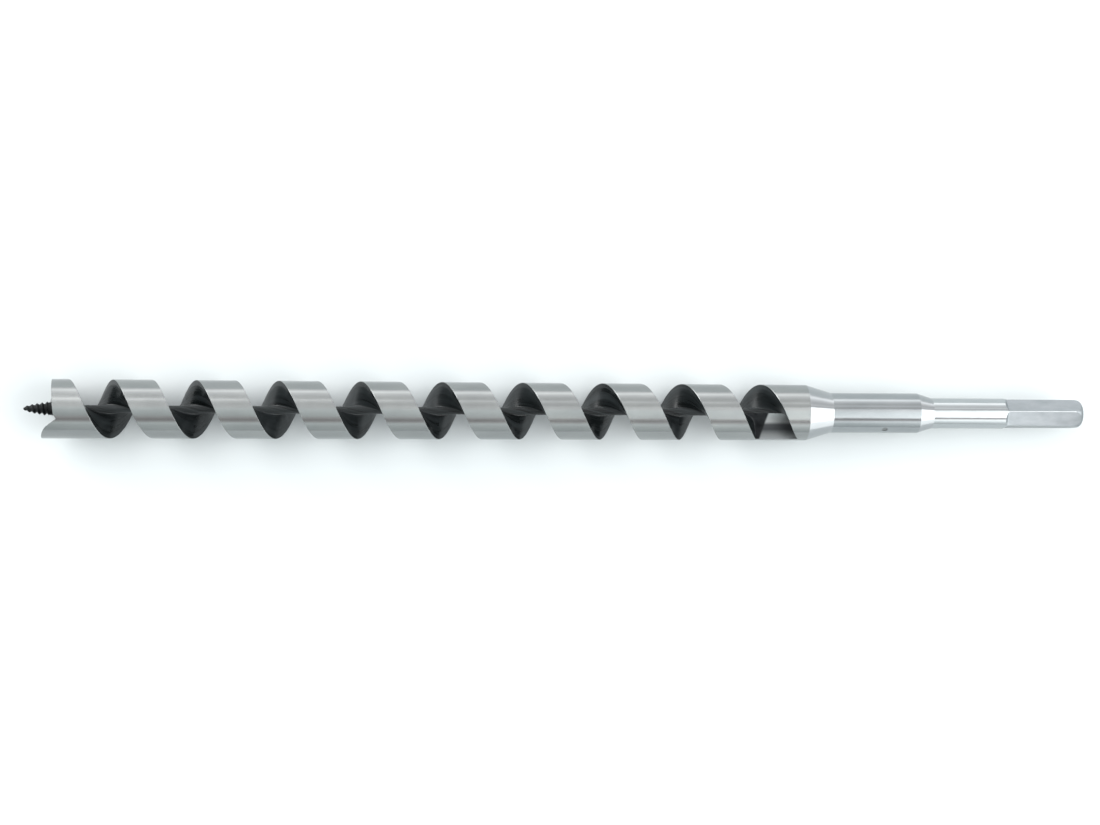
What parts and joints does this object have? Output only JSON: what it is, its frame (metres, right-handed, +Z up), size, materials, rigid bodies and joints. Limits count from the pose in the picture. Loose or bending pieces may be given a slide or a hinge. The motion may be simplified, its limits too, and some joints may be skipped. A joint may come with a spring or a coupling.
{
  "type": "wood auger bit",
  "caption": "Long single-flute wood auger bit with a threaded feed screw, a scoring spur and a pinned round shank that ends in a hexagon.",
  "frame": {"origin": "centre of the hexagonal shank's end face", "axes": "+X along the bit's axis from the feed screw towards the shank's end, +Z up out of the surface that the bit lies on, +Y across"},
  "size_m": [0.4376, 0.024, 0.024],
  "materials": {
    "ground_steel": "ground lands with fine marks round the bit; the flute walls and core keep a black heat-treatment finish",
    "black_steel": "satin black heat-treatment finish",
    "turned_steel": "bright turned steel with a polished cone and milled flats",
    "pin_steel": "dull dark steel"
  },
  "bodies": {
    "root": {"lead_screw": "black_steel", "twist": "ground_steel", "drive_shank": "turned_steel", "shank_pin": "pin_steel"}
  },
  "joints": []
}
